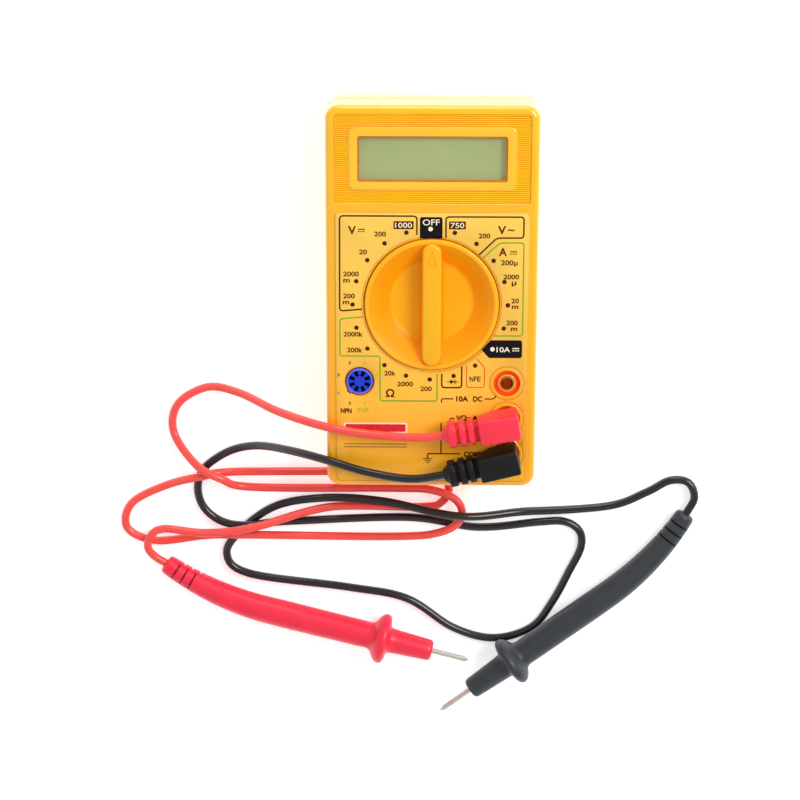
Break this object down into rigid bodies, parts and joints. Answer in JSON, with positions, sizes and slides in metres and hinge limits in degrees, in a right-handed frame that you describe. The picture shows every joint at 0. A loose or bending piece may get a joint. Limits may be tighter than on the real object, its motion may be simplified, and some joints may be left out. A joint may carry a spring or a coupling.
{
  "type": "digital multimeter",
  "caption": "Pocket digital multimeter with a turning range knob, a display, three jacks and two test leads with probes.",
  "frame": {"origin": "centre of the back face, on the surface the meter lies on", "axes": "+Z out of the face, +Y towards the display, +X towards the jacks' side"},
  "size_m": [0.1953, 0.2128, 0.0391],
  "materials": {
    "case_plastic": "fine moulded texture",
    "label_film": "satin printed film",
    "clear_window": "clear",
    "lcd_glass": "grey-green display",
    "white_plastic": "moulded",
    "grey_rubber": "matte",
    "board_laminate": "solder mask",
    "black_plastic": "moulded",
    "steel": "plated",
    "spring_brass": "bright",
    "blue_plastic": "moulded",
    "beige_plastic": "painted",
    "red_plastic": "dipped",
    "foil": "foil",
    "battery_can": "plain printed can",
    "lead_red": "smooth flexible vinyl",
    "lead_black": "smooth flexible vinyl",
    "plug_red": "soft moulded vinyl",
    "probe_slate": "soft moulded vinyl",
    "nickel": "nickel plated"
  },
  "bodies": {
    "meter": {"front_case": "case_plastic", "rear_case": "case_plastic", "case_screws": "steel", "front_label": "label_film", "lcd_cover": "clear_window", "lcd_cell": "lcd_glass", "lcd_holder": "white_plastic", "zebra_strips": "grey_rubber", "circuit_board": "board_laminate", "board_screws": "steel", "chip_cap": "black_plastic", "fuse_glass": "clear_window", "fuse_caps": "steel", "fuse_clips": "spring_brass", "shunt_wire": "spring_brass", "jack_10a": "spring_brass", "jack_volt": "spring_brass", "jack_com": "spring_brass", "transistor_socket": "blue_plastic", "socket_contacts": "steel", "trimmer": "blue_plastic", "resistors": "beige_plastic", "capacitors": "red_plastic", "shield_sheet": "foil", "shield_spring": "steel", "battery": "battery_can", "battery_terminals": "steel", "battery_snap": "black_plastic", "battery_wires": "lead_red", "red_cord": "lead_red", "black_cord": "lead_black"},
    "dial": {"range_knob": "case_plastic", "wiper_springs": "spring_brass", "detent_balls": "steel", "detent_springs": "steel"},
    "red_plug": {"red_plug_body": "plug_red", "red_plug_pin": "nickel"},
    "black_plug": {"black_plug_body": "black_plastic", "black_plug_pin": "nickel"},
    "red_probe": {"red_probe_handle": "plug_red", "red_probe_tip": "nickel"},
    "black_probe": {"black_probe_handle": "probe_slate", "black_probe_tip": "nickel"}
  },
  "joints": [
    {"name": "dial_turn", "type": "hinge", "parent": "meter", "child": "dial", "pos_m": [0, -0.0013, 0.02], "axis": [0, 0, 1], "continuous": true},
    {"name": "red_plug_pull", "type": "slide", "parent": "meter", "child": "red_plug", "axis": [0, 0, 1], "range_m": [0, 0.02], "deforming": ["red_cord"]},
    {"name": "black_plug_pull", "type": "slide", "parent": "meter", "child": "black_plug", "axis": [0, 0, 1], "range_m": [0, 0.02], "deforming": ["black_cord"]},
    {"name": "red_probe_lift", "type": "hinge", "parent": "meter", "child": "red_probe", "pos_m": [-0.09037, -0.09884, 0.0034], "axis": [-0.225, -0.9744, 0], "range_deg": [0, 60]},
    {"name": "black_probe_lift", "type": "hinge", "parent": "meter", "child": "black_probe", "pos_m": [0.08662, -0.07978, 0.0034], "axis": [-0.5878, 0.809, 0], "range_deg": [0, 60]}
  ]
}
